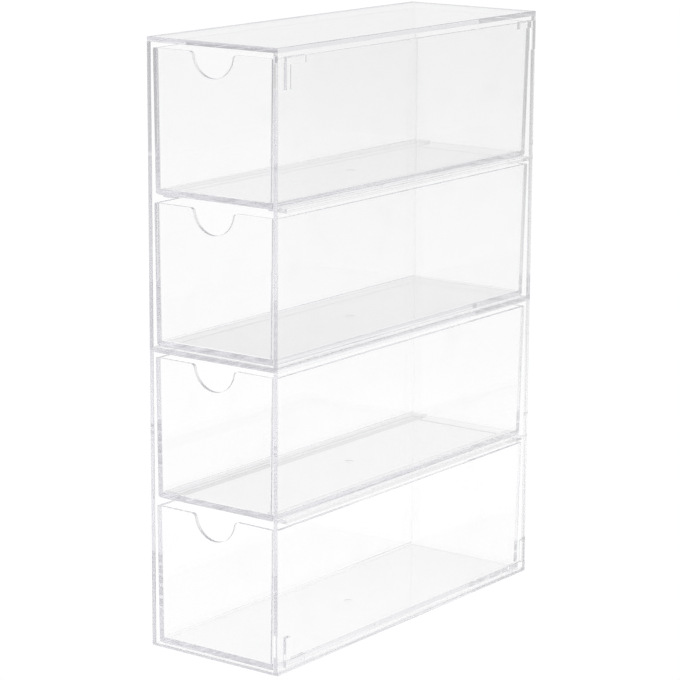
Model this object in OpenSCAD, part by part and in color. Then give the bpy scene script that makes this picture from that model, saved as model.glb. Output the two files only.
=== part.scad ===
// Clear organizer for glasses: a case of bonded sheets in two tiers, each tier holding two slide-out drawers.
// Origin under the middle of the case, +Z up, the drawers open towards -Y. Millimetres.

/* [Case] */
// Outside width over the two side panels, without their ribs
case_w = 65; // [50:1:120]
// Outside depth from the front edges to the rear face
case_d = 180; // [140:1:240]
// Outside height
case_h = 250; // [160:1:340]
// Thickness of the side panels
side_t = 2; // [1.5:0.1:4]
// Thickness of the back panels
back_t = 2; // [1.5:0.1:4]
// Thickness of the top plate
top_t = 2; // [1.5:0.1:4]
// Thickness of the plate between the two tiers
middle_t = 2; // [1.5:0.1:4]
// Thickness of the base plate
base_t = 1; // [0.8:0.1:4]

/* [Corner ribs] */
// Length of each leg of an L-shaped rib
rib_leg = 12.5; // [8:0.5:20]
// Width of a leg
rib_w = 3; // [2:0.1:5]
// How far a rib stands out from its side panel
rib_rise = 1.2; // [0.4:0.1:2]
// Distance of the front ribs from the front edge of the case
rib_front = 4; // [1:0.1:10]
// Distance of the rear ribs from the rear edge of the case
rib_rear = 1.7; // [1:0.1:10]
// Distance of a rib from the end of its panel
rib_end = 1.7; // [1:0.1:10]

/* [Rails] */
// Width of the rails that carry the upper drawer of a tier
rail_w = 8; // [4:0.5:12]
// Thickness of a rail
rail_t = 1.6; // [1:0.1:4]
// Distance of a rail from the front edge of the case
rail_setback = 7; // [0:0.5:20]

/* [Drawers] */
// Thickness of a drawer's walls
wall_t = 1.6; // [1.2:0.1:3]
// Thickness of a drawer's floor
floor_t = 2.5; // [1.2:0.1:3]
// Draft of the side walls, in degrees
side_draft = 0.8; // [0:0.1:2]
// Draft of the rear wall, in degrees
rear_draft = 1.2; // [0:0.1:3]
// Outside radius of the upright corners
corner_r = 0.4; // [0.3:0.1:4]
// Inside radius of the upright corners
pocket_r = 0.5; // [0.5:0.1:3]
// Clearance between a drawer's rim and the side panel, each side
side_gap = 0.3; // [0.2:0.1:2]
// Clearance between a drawer and the plate or rails that it slides on
glide_gap = 0.2; // [0.1:0.05:0.5]
// Clearance between the rim of the lower drawer of a tier and the rails above it
rail_gap = 1.4; // [0.5:0.1:4]
// Clearance between the rim of the upper drawer of a tier and the plate above it
rim_gap = 2.3; // [0.5:0.1:4]
// How far a closed drawer sits behind the front edges of the case
front_recess = 0.8; // [0:0.1:3]
// Clearance between a closed drawer and the back panel
rear_gap = 0.3; // [0.2:0.1:2]

/* [Finger notch] */
// Radius of the half-round notch in a drawer's front
notch_r = 10; // [6:0.5:14]
// Radius of the lips that lead into the notch
lip_r = 2; // [0.5:0.5:4]

/* [Moulding mark] */
// Diameter of the round recess under the middle of a drawer's floor
mark_d = 4; // [2:0.5:8]
// Depth of that recess
mark_depth = 0.4; // [0.2:0.1:0.8]

/* [Hidden] */
$fn = 64;
// Cutters run this far past the face that they cut
past = 1;
clear_sheet = [0.92, 0.93, 0.96, 0.35];
clear_tray = [0.94, 0.95, 0.98, 0.35];

// Faces of the case
inner_x = case_w / 2 - side_t;
front_y = -case_d / 2;
rear_y = case_d / 2;
back_y = rear_y - back_t;

// Clear height of a tier, shared by its two drawers, its rails and their clearances
tier_h = (case_h - base_t - middle_t - top_t) / 2;
drawer_h = (tier_h - rail_t - 2 * glide_gap - rail_gap - rim_gap) / 2;
// Top of a tier's rails over its floor
rail_top = glide_gap + drawer_h + rail_gap + rail_t;

// Outside of a drawer, measured from its underside
rim_half = inner_x - side_gap;
foot_half = rim_half - drawer_h * tan(side_draft);
drawer_front = front_y + front_recess;
rim_rear = back_y - rear_gap;
foot_rear = rim_rear - drawer_h * tan(rear_draft);

// Tier 0 is the lower one and 1 the upper one, and bay 0 is the lower drawer of a tier and 1 the upper one
function tier_floor(tier) = base_t + tier * (tier_h + middle_t);
function drawer_z(tier, bay) = tier_floor(tier) + bay * rail_top + glide_gap;
function half_width(z) = foot_half + z * tan(side_draft);
function rear_edge(z) = foot_rear + z * tan(rear_draft);

// A flat plate from one corner to the opposite one
module plate(low, high) {
    translate(low) cube(high - low);
}

// Rectangle from low to high with round corners of radius r
module round_rectangle(low, high, r) {
    for (x = [low.x + r, high.x - r])
        for (y = [low.y + r, high.y - r])
            translate([x, y]) circle(r);
    translate([low.x + r, low.y]) square([high.x - low.x - 2 * r, high.y - low.y]);
    translate([low.x, low.y + r]) square([high.x - low.x, high.y - low.y - 2 * r]);
}

// Plate over the whole footprint, from height low
module full_plate(low, thickness) {
    color(clear_sheet)
        plate([-case_w / 2, front_y, low], [case_w / 2, rear_y, low + thickness]);
}

// L-shaped rib with its corner at the origin and its legs along +Y and +Z, standing out along +X
module corner_rib() {
    cube([rib_rise, rib_leg, rib_w]);
    cube([rib_rise, rib_w, rib_leg]);
}

// Ribs on the outside of the right panel, at the outer end of its tier: one near the front, one near the rear
module corner_ribs(tier) {
    corner_z = tier == 0 ? base_t + rib_end : case_h - top_t - rib_end;
    for (rear = [0, 1])
        translate([case_w / 2, rear == 0 ? front_y + rib_front : rear_y - rib_rear, corner_z])
            mirror([0, rear, 0]) mirror([0, 0, tier]) corner_rib();
}

// Left side panel of a tier, between the plates under and over it
module left_panel(tier) {
    color(clear_sheet)
        plate([-case_w / 2, front_y, tier_floor(tier)], [-inner_x, rear_y, tier_floor(tier) + tier_h]);
}

// Right side panel of a tier, with its ribs
module right_panel(tier) {
    color(clear_sheet)
        union() {
            plate([inner_x, front_y, tier_floor(tier)], [case_w / 2, rear_y, tier_floor(tier) + tier_h]);
            corner_ribs(tier);
        }
}

// Back panel of a tier, between its side panels
module back_panel(tier) {
    color(clear_sheet)
        plate([-inner_x, back_y, tier_floor(tier)], [inner_x, rear_y, tier_floor(tier) + tier_h]);
}

// Rail along the inside of a side panel, on the +X side or mirrored to the -X side
module rail(tier, left) {
    top_z = tier_floor(tier) + rail_top;
    color(clear_sheet)
        mirror([left, 0, 0])
            plate([inner_x - rail_w, front_y + rail_setback, top_z - rail_t], [inner_x, back_y, top_z]);
}

// Block with a drawer's draft from height low to height high, drawn in by inset on all four sides
module drafted_block(low, high, inset, r) {
    start = drawer_front + inset;
    intersection() {
        translate([0, rear_y, 0])
            rotate([90, 0, 0])
                linear_extrude(case_d)
                    polygon([
                        [inset - half_width(low), low], [half_width(low) - inset, low],
                        [half_width(high) - inset, high], [inset - half_width(high), high]
                    ]);
        translate([-case_w / 2, 0, 0])
            rotate([90, 0, 90])
                linear_extrude(case_w)
                    polygon([
                        [start, low], [rear_edge(low) - inset, low],
                        [rear_edge(high) - inset, high], [start, high]
                    ]);
        translate([0, 0, low])
            linear_extrude(high - low)
                round_rectangle(
                    [inset - half_width(high), start],
                    [half_width(high) - inset, rear_edge(high) - inset], r
                );
    }
}

// Outline of the finger notch, with the middle of the rim at the origin: a half circle between two round lips
module notch_outline() {
    lip_x = sqrt(notch_r * notch_r + 2 * notch_r * lip_r);
    tangent_z = lip_r * notch_r / (notch_r + lip_r);
    difference() {
        union() {
            circle(notch_r);
            translate([-lip_x, -tangent_z]) square([2 * lip_x, tangent_z + past]);
        }
        for (side = [-1, 1])
            translate([side * lip_x, -lip_r]) circle(lip_r);
    }
}

// One-piece tray
module drawer(tier, bay) {
    color(clear_tray)
        translate([0, 0, drawer_z(tier, bay)])
            difference() {
                drafted_block(0, drawer_h, 0, corner_r);
                drafted_block(floor_t, drawer_h + past, wall_t, pocket_r);
                translate([0, drawer_front + wall_t + past, drawer_h])
                    rotate([90, 0, 0])
                        linear_extrude(wall_t + 2 * past) notch_outline();
                translate([0, (drawer_front + foot_rear) / 2, -past])
                    cylinder(d = mark_d, h = past + mark_depth);
            }
}

full_plate(0, base_t);  // base_plate
full_plate(tier_floor(1) - middle_t, middle_t);  // middle_plate
full_plate(case_h - top_t, top_t);  // top_plate
left_panel(0);  // lower_left_panel
right_panel(0);  // lower_right_panel
back_panel(0);  // lower_back_panel
left_panel(1);  // upper_left_panel
right_panel(1);  // upper_right_panel
back_panel(1);  // upper_back_panel
rail(0, 1);  // lower_left_rail
rail(0, 0);  // lower_right_rail
rail(1, 1);  // upper_left_rail
rail(1, 0);  // upper_right_rail
drawer(1, 1);  // drawer_1
drawer(1, 0);  // drawer_2
drawer(0, 1);  // drawer_3
drawer(0, 0);  // drawer_4
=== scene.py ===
"""Clear acrylic glasses organizer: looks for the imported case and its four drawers."""
import math

import bmesh
import bpy
from mathutils import Matrix, Vector


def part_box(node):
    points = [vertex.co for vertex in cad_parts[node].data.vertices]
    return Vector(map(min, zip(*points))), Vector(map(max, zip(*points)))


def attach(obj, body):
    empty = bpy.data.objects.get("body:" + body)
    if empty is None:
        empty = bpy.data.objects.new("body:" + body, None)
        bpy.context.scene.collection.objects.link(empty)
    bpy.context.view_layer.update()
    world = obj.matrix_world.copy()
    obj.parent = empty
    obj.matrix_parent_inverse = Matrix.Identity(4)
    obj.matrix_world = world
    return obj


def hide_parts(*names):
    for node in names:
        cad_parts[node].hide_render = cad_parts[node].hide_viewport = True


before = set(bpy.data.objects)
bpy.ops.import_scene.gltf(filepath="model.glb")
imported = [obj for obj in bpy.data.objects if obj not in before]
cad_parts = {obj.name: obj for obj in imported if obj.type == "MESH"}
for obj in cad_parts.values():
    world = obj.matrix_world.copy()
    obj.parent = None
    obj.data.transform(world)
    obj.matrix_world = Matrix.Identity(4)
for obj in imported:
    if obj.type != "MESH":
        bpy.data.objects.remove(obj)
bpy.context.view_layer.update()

MM = 0.001

# Sizes that the drawers share with the construction
WALL = 1.6 * MM
FLOOR = 2.5 * MM
SIDE_GAP = 0.3 * MM
SIDE_DRAFT = math.radians(0.8)
REAR_DRAFT = math.radians(1.2)
CORNER_R = 0.4 * MM
POCKET_R = 0.5 * MM
NOTCH_R = 10.0 * MM
LIP_R = 2.0 * MM
MARK_R = 2.0 * MM
MARK_DEPTH = 0.4 * MM

# Sizes that the right panels' ribs share with the construction
RIB_LEG = 12.5 * MM
RIB_W = 3.0 * MM
RIB_FRONT = 4.0 * MM
RIB_REAR = 1.7 * MM
RIB_END = 1.7 * MM

# Roundings that only the looks have
SHEET_EDGE_R = 0.15 * MM
FOOT_R = 1.4 * MM
RIM_R = 0.2 * MM

# Steps in each rounding and in the curves of the finger notch
SHEET_EDGE_STEPS = 3
POCKET_STEPS = 4
FOOT_STEPS = 5
CORNER_STEPS = 4
RIM_STEPS = 3
BOWL_STEPS = 14
LIP_STEPS = 6

# The moulding mark starts as a square patch: its half width and its frame as shares of the mark's radius,
# and the cuts in each side before the patch is made round
MARK_PATCH = 1.6
MARK_FRAME = 0.3
MARK_CUTS = 7

# Bonded sheets reach this far into each other, so that light passes the bond
BOND = 0.03 * MM
# Two lengths within this are the same
NEAR = 0.01 * MM
# An edge that drops less than this share of its length is level
LEVEL_SLOPE = 0.02
# Edges that turn by more than this are sharp, on a sheet and on a drawer's rim, in degrees
SHEET_SHARP = 40.0
RIM_SHARP = 50.0
# Faces that turn by less than this are one flat face, in degrees
FLAT = 1.0
# A face looks straight along an axis if its normal reaches this far along it
STRAIGHT = 0.95
# The underside is the only face larger than this that looks down, in square metres
UNDERSIDE_AREA = 0.001
# Faces of the front wall, other than its foot, have their middle within this of the rim
FRONT_WALL_REACH = 40.0 * MM

TIERS = ("lower", "upper")
DRAWERS = ("drawer_1", "drawer_2", "drawer_3", "drawer_4")

# Camera, fitted to the case's outer edges: angles in degrees, lengths in metres, the sensor in millimetres
VIEW_AZIMUTH = 36.612
VIEW_ELEVATION = 12.494
VIEW_ROLL = 0.302
VIEW_DISTANCE = 1.177372
VIEW_AIM = Vector((0.0, 0.0, 0.125))
VIEW_SLIDE = (-0.00344, -0.00792)
SENSOR = 36.0
FOCAL_PIXELS = 2806.0
PHOTO_PIXELS = 680.0
CLIP_START = 0.01
CLIP_END = 100.0

# Level direction from the camera past the object
BEHIND = (-math.sin(math.radians(VIEW_AZIMUTH)), math.cos(math.radians(VIEW_AZIMUTH)), 0.0)

# Floor: a glowing disc just under the object, and the brightness painted into its glow where it is lit and
# where it isn't
FLOOR_R = 12.0
FLOOR_SEGMENTS = 96
FLOOR_DROP = 0.3 * MM
FLOOR_IN_PAINTED_LIGHT = 1.02
FLOOR_OUT_OF_PAINTED_LIGHT = 0.62
# Painted light: a pool of light round the object, and a path of light behind it that widens with distance,
# are painted into its glow:
# the distances over which each of them fades, and where the path begins
PAINTED_POOL_FADE = (-0.6, 2.4)
PAINTED_PATH_FADE = (0.2, 0.9)
PAINTED_PATH_START = (-0.8, 0.0)
PAINTED_PATH_SPREAD = 0.11

# Dome: its brightness in front and behind, and the turn between them
DOME_FRONT = 0.75
DOME_REAR = 1.0
DOME_SIDES = (-0.5, 0.7)
# A dimmer band runs round it: the brightness under, in and over the band, and the heights of its two edges
DOME_LOW = 0.89
DOME_BAND = 0.77
DOME_TOP = 0.92
BAND_FOOT = (0.18, 0.24)
BAND_TOP = (0.27, 0.32)
DOME_TINT = (0.99, 0.99, 1.0, 1.0)

# Light that is caught in a sheet turns back and forth this often before it is given up
BOUNCES = 256
CLEAR_BOUNCES = 32

# Acrylic: its refraction, and the tint that light takes on along its depth
REFRACTION = 1.49
DEPTH_TINT = (0.78, 0.775, 0.82, 1.0)
DEPTH_DENSITY = 4.5
# Waves in its faces
WAVE_HEIGHT = 0.01 * MM
WAVE_DETAIL = 1.0
SHEET_WAVE = 30.0 * MM
MOULDING_WAVE = 20.0 * MM
# Smudges: how many to a metre, and how much haze and film they leave where they are thick
SMUDGES_PER_M = 55.0
SMUDGE_DETAIL = 4.0
HAZE_SPAN = (0.5, 0.8)
HAZE = 0.03
FILM_SPAN = (0.55, 0.85)
FILM = 0.985
# Name of the mark on faces that are less polished, and how much rougher they are
SATIN = "satin"
SATIN_ROUGHNESS = 0.35


class Wire:
    """A node's output that can stand in a sum: each operator adds one Math node."""

    def __init__(self, graph, socket):
        self.graph = graph
        self.socket = socket

    def math(self, operation, first, second):
        return self.graph.node("ShaderNodeMath", {"operation": operation}, {0: first, 1: second})

    def __add__(self, other):
        return self.math("ADD", self, other)

    def __sub__(self, other):
        return self.math("SUBTRACT", self, other)

    def __rsub__(self, other):
        return self.math("SUBTRACT", other, self)

    def __mul__(self, other):
        return self.math("MULTIPLY", self, other)

    __radd__ = __add__
    __rmul__ = __mul__


class Graph:
    """The node tree of a material or a world, written as expressions."""

    def __init__(self, owner):
        owner.use_nodes = True
        self.tree = owner.node_tree
        self.tree.nodes.clear()

    def node(self, kind, settings=None, sockets=None, out=0):
        """Adds a node, sets it up, then gives its sockets values or links, and returns one output."""
        made = self.tree.nodes.new(kind)
        for name, value in (settings or {}).items():
            setattr(made, name, value)
        for name, value in (sockets or {}).items():
            if isinstance(value, Wire):
                self.tree.links.new(value.socket, made.inputs[name])
            else:
                made.inputs[name].default_value = value
        return Wire(self, made.outputs[out]) if made.outputs else made


def ramp(g, value, span, low, high, kind="SMOOTHSTEP"):
    """Goes from low to high while the value crosses the span."""
    return g.node("ShaderNodeMapRange", {"interpolation_type": kind}, {
        "Value": value, "From Min": span[0], "From Max": span[1], "To Min": low, "To Max": high})


def vector(g, operation, *inputs, out="Value"):
    """One step of vector maths."""
    return g.node("ShaderNodeVectorMath", {"operation": operation}, dict(enumerate(inputs)), out)


def place_camera():
    """Camera at the photograph's angle, turned by its small roll and slid so that the framing agrees."""
    a, e, r = (math.radians(x) for x in (VIEW_AZIMUTH, VIEW_ELEVATION, VIEW_ROLL))
    back = Vector((math.sin(a) * math.cos(e), -math.cos(a) * math.cos(e), math.sin(e)))
    level = Vector((math.cos(a), math.sin(a), 0.0))
    upright = back.cross(level)
    right = math.cos(r) * level + math.sin(r) * upright
    up = math.cos(r) * upright - math.sin(r) * level
    data = bpy.data.cameras.new("camera")
    data.sensor_width = SENSOR
    data.lens = SENSOR * FOCAL_PIXELS / PHOTO_PIXELS
    data.clip_start = CLIP_START
    data.clip_end = CLIP_END
    camera = bpy.data.objects.new("camera", data)
    aim = VIEW_AIM + VIEW_SLIDE[0] * right + VIEW_SLIDE[1] * up
    turn = Matrix((right, up, back)).transposed().to_4x4()
    camera.matrix_world = Matrix.Translation(aim + VIEW_DISTANCE * back) @ turn
    bpy.context.scene.collection.objects.link(camera)
    bpy.context.scene.camera = camera


def block(low, high):
    """A box from one corner to the opposite one."""
    bm = bmesh.new()
    bmesh.ops.create_cube(bm, size=1.0)
    bmesh.ops.scale(bm, vec=high - low, verts=bm.verts)
    bmesh.ops.translate(bm, vec=(low + high) / 2, verts=bm.verts)
    return bm


def round_edges(bm, edges, radius, steps):
    """Rounds the given edges."""
    bmesh.ops.bevel(bm, geom=list(edges), offset=radius, offset_type="OFFSET", segments=steps,
                    profile=0.5, affect="EDGES", material=-1, clamp_overlap=True)


def cut(bm, faces, point, normal):
    """Cuts only the given faces along a plane. Returns them with the new ones."""
    faces = [f for f in faces if f.is_valid]
    geom = dict.fromkeys(faces)
    for f in faces:
        geom.update(dict.fromkeys(f.edges))
        geom.update(dict.fromkeys(f.verts))
    made = bmesh.ops.bisect_plane(bm, geom=list(geom), dist=NEAR / 10, plane_co=point, plane_no=normal)
    return [g for g in made["geom"] if isinstance(g, bmesh.types.BMFace) and g.is_valid]


def raise_faces(bm, faces, shift):
    """Extrudes the faces as one region and moves them by shift. Returns the moved points."""
    made = bmesh.ops.extrude_face_region(bm, geom=list(faces))
    verts = [g for g in made["geom"] if isinstance(g, bmesh.types.BMVert)]
    bmesh.ops.translate(bm, vec=shift, verts=verts)
    bmesh.ops.delete(bm, geom=[f for f in faces if f.is_valid], context="FACES")
    return verts


def sharp(bm, degrees):
    """Edges whose two faces meet at more than the given angle."""
    turn = math.radians(degrees)
    return [e for e in bm.edges if len(e.link_faces) == 2 and e.calc_face_angle(0.0) > turn]


def nearest(faces, point):
    """The face whose middle is nearest to the point."""
    return min(faces, key=lambda f: (f.calc_center_median() - point).length)


def add_object(name, bm, finish):
    """Turns a bmesh into an object of the scene."""
    mesh = bpy.data.meshes.new(name)
    bm.to_mesh(mesh)
    bm.free()
    mesh.materials.append(finish)
    made = bpy.data.objects.new(name, mesh)
    bpy.context.scene.collection.objects.link(made)
    return made


def piece(name, bm, node, body, finish):
    """Turns a bmesh into a piece that stands for a CAD node and moves with its body."""
    bmesh.ops.recalc_face_normals(bm, faces=bm.faces)
    made = add_object(name, bm, finish)
    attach(made, body)
    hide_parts(node)


def bonded(edge, low, high, reach_low, reach_high):
    """True if the edge lies in a face that is bonded to another sheet."""
    for axis in range(3):
        values = [v.co[axis] for v in edge.verts]
        if reach_low[axis] and all(abs(x - low[axis]) < NEAR for x in values):
            return True
        if reach_high[axis] and all(abs(x - high[axis]) < NEAR for x in values):
            return True
    return False


def sheet(node, finish, reach_low=(0, 0, 0), reach_high=(0, 0, 0), ribs=None):
    """A flat acrylic sheet on a CAD plate: it reaches into the sheets that it is bonded to."""
    low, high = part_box(node)
    low = low - BOND * Vector(reach_low)
    high = high + BOND * Vector(reach_high)
    bm = block(low, high)
    if ribs:
        ribs(bm, node)
    free = [e for e in sharp(bm, SHEET_SHARP) if not bonded(e, low, high, reach_low, reach_high)]
    round_edges(bm, free, SHEET_EDGE_R, SHEET_EDGE_STEPS)
    piece(node + "_sheet", bm, node, "case", finish)


def corner_ribs(bm, node):
    """Raises the two L-shaped ribs on the outer face of a right panel, at the outer end of its tier."""
    low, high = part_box(node)
    outer_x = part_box("top_plate")[1].x
    upper = node.startswith("upper")
    way_z = -1 if upper else 1
    corner_z = high.z - RIB_END if upper else low.z + RIB_END
    for v in bm.verts:
        v.co.x = min(v.co.x, outer_x)
    faces = [f for f in bm.faces if f.normal.x > STRAIGHT]
    corners = ((1, low.y + RIB_FRONT), (-1, high.y - RIB_REAR))
    for step in (0.0, RIB_W, RIB_LEG):
        for way_y, corner_y in corners:
            faces = cut(bm, faces, (0, corner_y + way_y * step, 0), (0, 1, 0))
        faces = cut(bm, faces, (0, 0, corner_z + way_z * step), (0, 0, 1))
    chosen = []
    for f in faces:
        middle = f.calc_center_median()
        along_z = way_z * (middle.z - corner_z)
        for way_y, corner_y in corners:
            along_y = way_y * (middle.y - corner_y)
            in_square = 0 < along_y < RIB_LEG and 0 < along_z < RIB_LEG
            if in_square and min(along_y, along_z) < RIB_W:
                chosen.append(f)
    raise_faces(bm, chosen, Vector((high.x - outer_x, 0, 0)))
    bmesh.ops.dissolve_limit(bm, angle_limit=math.radians(FLAT), verts=bm.verts, edges=bm.edges)


def notch_outline():
    """Half of the finger notch from its bottom to the rim: distances from its middle and depths."""
    lip_x = math.sqrt(NOTCH_R ** 2 + 2 * NOTCH_R * LIP_R)
    tangent = math.atan2(lip_x, LIP_R)
    bowl = [tangent * i / BOWL_STEPS for i in range(BOWL_STEPS + 1)]
    points = [(NOTCH_R * math.sin(t), NOTCH_R * math.cos(t)) for t in bowl]
    for i in range(1, LIP_STEPS + 1):
        t = tangent * (1 - i / LIP_STEPS)
        points.append((lip_x - LIP_R * math.sin(t), LIP_R - LIP_R * math.cos(t)))
    return points


def cut_notch(bm, front, rim):
    """Lowers the rim of the front wall along the outline of the finger notch."""
    outline = notch_outline()
    inner = front + WALL + NEAR
    wall = []
    for f in bm.faces:
        middle = f.calc_center_median()
        in_wall = all(v.co.y < inner for v in f.verts) and middle.z > rim - FRONT_WALL_REACH
        if in_wall and abs(middle.x) < NEAR:
            wall.append(f)
    for x, _ in outline:
        for side in ((1,) if x < NEAR else (-1, 1)):
            wall = cut(bm, wall, (side * x, 0, 0), (1, 0, 0))
    for v in bm.verts:
        if abs(v.co.z - rim) < NEAR and v.co.y < inner:
            for x, depth in outline:
                if abs(abs(v.co.x) - x) < NEAR:
                    v.co.z = rim - depth


def mark_satin(bm, front, rim):
    """Marks the faces of the notch's edge, which are less polished than the rest."""
    satin = bm.faces.layers.float.new(SATIN)
    reach = NOTCH_R + LIP_R
    for f in bm.faces:
        in_wall = all(v.co.y < front + WALL + NEAR and v.co.z > rim - reach for v in f.verts)
        if in_wall and all(abs(v.co.x) < reach and v.co.z < rim - NEAR / 2 for v in f.verts):
            f[satin] = 1.0


def sink_mark(bm, middle_y, base):
    """Sinks the small round moulding mark into the middle of the underside."""
    faces = [f for f in bm.faces if f.normal.z < -STRAIGHT and f.calc_area() > UNDERSIDE_AREA]
    half = MARK_R * MARK_PATCH
    for x in (-half, half):
        faces = cut(bm, faces, (x, 0, 0), (1, 0, 0))
    for y in (middle_y - half, middle_y + half):
        faces = cut(bm, faces, (0, y, 0), (0, 1, 0))
    middle = Vector((0, middle_y, base))
    patch = nearest(faces, middle)
    bmesh.ops.inset_region(bm, faces=[patch], thickness=MARK_R * MARK_FRAME, use_even_offset=True)
    bmesh.ops.subdivide_edges(bm, edges=patch.edges[:], cuts=MARK_CUTS)
    patch = nearest([f for f in bm.faces if f.normal.z < -STRAIGHT], middle)
    for v in patch.verts:
        spoke = (v.co - middle).normalized()
        v.co = middle + MARK_R * spoke
    raise_faces(bm, [patch], Vector((0, 0, MARK_DEPTH)))


def line_down(vert):
    """Edges that lead from a corner of the rim down to the underside, always along the steepest one."""
    line = []
    while True:
        drops = {e: (vert.co.z - e.other_vert(vert).co.z) / e.calc_length() for e in vert.link_edges}
        steepest = max(drops, key=drops.get)
        if drops[steepest] < LEVEL_SLOPE:
            return line
        line.append(steepest)
        vert = steepest.other_vert(vert)


def drawer(node, finish):
    """A one-piece moulded tray: drafted walls, round corners and rim, and a finger notch."""
    low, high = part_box(node)
    inner_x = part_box("upper_right_panel")[0].x
    base, rim, front, rear = low.z, high.z, low.y, high.y
    height = rim - base
    rim_half = inner_x - SIDE_GAP
    foot_half = rim_half - height * math.tan(SIDE_DRAFT)
    foot_rear = rear - height * math.tan(REAR_DRAFT)
    bm = block(Vector((-rim_half, front, base)), Vector((rim_half, rear, rim)))
    for v in bm.verts:
        if v.co.z < base + NEAR:
            v.co.x = math.copysign(foot_half, v.co.x)
            v.co.y = min(v.co.y, foot_rear)
    top = max(bm.faces, key=lambda f: f.calc_center_median().z)
    bmesh.ops.inset_region(bm, faces=[top], thickness=WALL, use_even_offset=True)
    pocket = raise_faces(bm, [top], Vector((0, 0, 0)))
    floor = base + FLOOR
    pocket_half = foot_half + FLOOR * math.tan(SIDE_DRAFT) - WALL
    pocket_rear = foot_rear + FLOOR * math.tan(REAR_DRAFT) - WALL
    for v in pocket:
        v.co = Vector((math.copysign(pocket_half, v.co.x), min(v.co.y, pocket_rear), floor))
    uprights = [e for e in bm.edges if abs(e.verts[0].co.z - e.verts[1].co.z) > height / 2]
    inside = [e for e in uprights if min(v.co.z for v in e.verts) > base + NEAR]
    inside += [e for e in bm.edges if all(abs(v.co.z - floor) < NEAR for v in e.verts)]
    round_edges(bm, inside, POCKET_R, POCKET_STEPS)
    foot = [e for e in bm.edges if all(abs(v.co.z - base) < NEAR for v in e.verts)]
    round_edges(bm, foot, FOOT_R, FOOT_STEPS)
    corners = []
    for v in bm.verts:
        if abs(v.co.z - rim) < NEAR and abs(abs(v.co.x) - rim_half) < NEAR:
            corners += line_down(v)
    round_edges(bm, corners, CORNER_R, CORNER_STEPS)
    cut_notch(bm, front, rim)
    sink_mark(bm, (front + foot_rear) / 2, base)
    lips = [e for e in sharp(bm, RIM_SHARP) if min(v.co.z for v in e.verts) > rim - NOTCH_R - NEAR]
    round_edges(bm, lips, RIM_R, RIM_STEPS)
    bmesh.ops.remove_doubles(bm, verts=bm.verts, dist=NEAR)
    mark_satin(bm, front, rim)
    piece(node + "_tray", bm, node, node, finish)


def acrylic(name, wave_size):
    """Clear acrylic: glossy, faintly wavy and smudged, with a cool grey depth that gathers in its edges."""
    made = bpy.data.materials.new(name)
    g = Graph(made)
    place = g.node("ShaderNodeTexCoord", out="Object")
    wave = g.node("ShaderNodeTexNoise", None,
                  {"Vector": place, "Scale": 1 / wave_size, "Detail": WAVE_DETAIL})
    smudge = g.node("ShaderNodeTexNoise", None,
                    {"Vector": place, "Scale": SMUDGES_PER_M, "Detail": SMUDGE_DETAIL})
    haze = ramp(g, smudge, HAZE_SPAN, 0.0, HAZE, "LINEAR")
    film = ramp(g, smudge, FILM_SPAN, 1.0, FILM, "LINEAR")
    satin = g.node("ShaderNodeAttribute", {"attribute_name": SATIN}, out="Fac")
    bump = g.node("ShaderNodeBump", None, {"Height": wave, "Strength": 1.0, "Distance": WAVE_HEIGHT})
    surface = g.node("ShaderNodeBsdfPrincipled", None, {
        "Base Color": film, "Roughness": haze + SATIN_ROUGHNESS * satin, "IOR": REFRACTION,
        "Transmission Weight": 1.0, "Normal": bump})
    depth = g.node("ShaderNodeVolumeAbsorption", None, {"Color": DEPTH_TINT, "Density": DEPTH_DENSITY})
    g.node("ShaderNodeOutputMaterial", None, {"Surface": surface, "Volume": depth})
    return made


def painted_light_floor():
    """A glowing floor with painted light: a painted pool of light round the object and a painted path of
    light behind it, and dimmer elsewhere.
    """
    made = bpy.data.materials.new("pale_floor")
    g = Graph(made)
    place = g.node("ShaderNodeTexCoord", out="Object")
    along = vector(g, "DOT_PRODUCT", place, BEHIND)
    across = vector(g, "LENGTH", vector(g, "CROSS_PRODUCT", place, BEHIND, out="Vector"))
    painted_pool = ramp(g, vector(g, "LENGTH", place), PAINTED_POOL_FADE, 1.0, 0.0)
    painted_path = ramp(g, across - PAINTED_PATH_SPREAD * along, PAINTED_PATH_FADE, 1.0, 0.0)
    begun = ramp(g, along, PAINTED_PATH_START, 0.0, 1.0)
    painted_light_share = painted_pool.math("MAXIMUM", painted_path * begun, painted_pool)
    level = FLOOR_OUT_OF_PAINTED_LIGHT + (FLOOR_IN_PAINTED_LIGHT - FLOOR_OUT_OF_PAINTED_LIGHT) * painted_light_share
    # The floor glows with this painted pool and path of light; no lamp lights it.
    surface = g.node("ShaderNodeEmission", None, {"Color": level, "Strength": 1.0})
    g.node("ShaderNodeOutputMaterial", None, {"Surface": surface})
    return made


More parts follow.
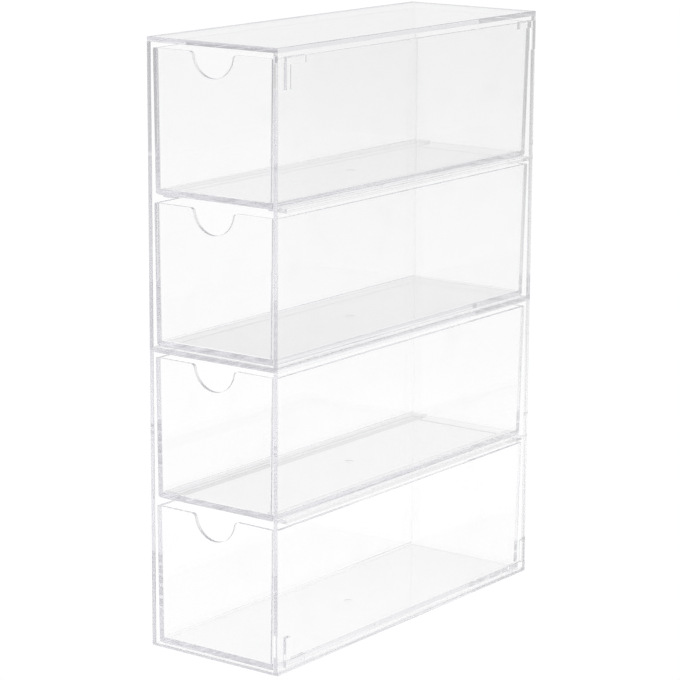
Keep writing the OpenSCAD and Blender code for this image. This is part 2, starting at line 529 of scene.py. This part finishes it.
def pale_floor():
    """A wide disc under the object."""
    bm = bmesh.new()
    bmesh.ops.create_circle(bm, cap_ends=True, radius=FLOOR_R, segments=FLOOR_SEGMENTS)
    bmesh.ops.translate(bm, vec=(0, 0, -FLOOR_DROP), verts=bm.verts)
    floor = add_object("floor", bm, painted_light_floor())


def soft_dome():
    """A dome of soft light that is brightest behind the object, with a dimmer band round it."""
    world = bpy.data.worlds.new("studio")
    g = Graph(world)
    way = g.node("ShaderNodeTexCoord", out="Generated")
    height = g.node("ShaderNodeSeparateXYZ", None, {"Vector": way}, out="Z")
    level = ramp(g, vector(g, "DOT_PRODUCT", way, BEHIND), DOME_SIDES, DOME_FRONT, DOME_REAR)
    into_band = ramp(g, height, BAND_FOOT, DOME_LOW, DOME_BAND)
    out_of_band = ramp(g, height, BAND_TOP, 0.0, DOME_TOP - DOME_BAND)
    light = g.node("ShaderNodeBackground", None,
                   {"Color": DOME_TINT, "Strength": level * (into_band + out_of_band)})
    g.node("ShaderNodeOutputWorld", None, {"Surface": light})
    bpy.context.scene.world = world


def light_paths():
    """Plain tones, and enough bounces for light that is caught in the sheets to come out again."""
    scene = bpy.context.scene
    scene.view_settings.view_transform = "Standard"
    scene.cycles.max_bounces = BOUNCES
    scene.cycles.glossy_bounces = BOUNCES
    scene.cycles.transmission_bounces = BOUNCES
    scene.cycles.transparent_max_bounces = CLEAR_BOUNCES


place_camera()
SHEET = acrylic("clear_sheet", SHEET_WAVE)
MOULDING = acrylic("clear_moulding", MOULDING_WAVE)
for node in ("base_plate", "middle_plate", "top_plate"):
    sheet(node, SHEET)
for tier in TIERS:
    sheet(tier + "_left_panel", SHEET, (0, 0, 1), (0, 0, 1))
    sheet(tier + "_right_panel", SHEET, (0, 0, 1), (0, 0, 1), corner_ribs)
    sheet(tier + "_back_panel", SHEET, (1, 0, 1), (1, 0, 1))
    sheet(tier + "_left_rail", SHEET, (1, 0, 0), (0, 1, 0))
    sheet(tier + "_right_rail", SHEET, (0, 0, 0), (1, 1, 0))
for node in DRAWERS:
    drawer(node, MOULDING)
pale_floor()
soft_dome()
light_paths()
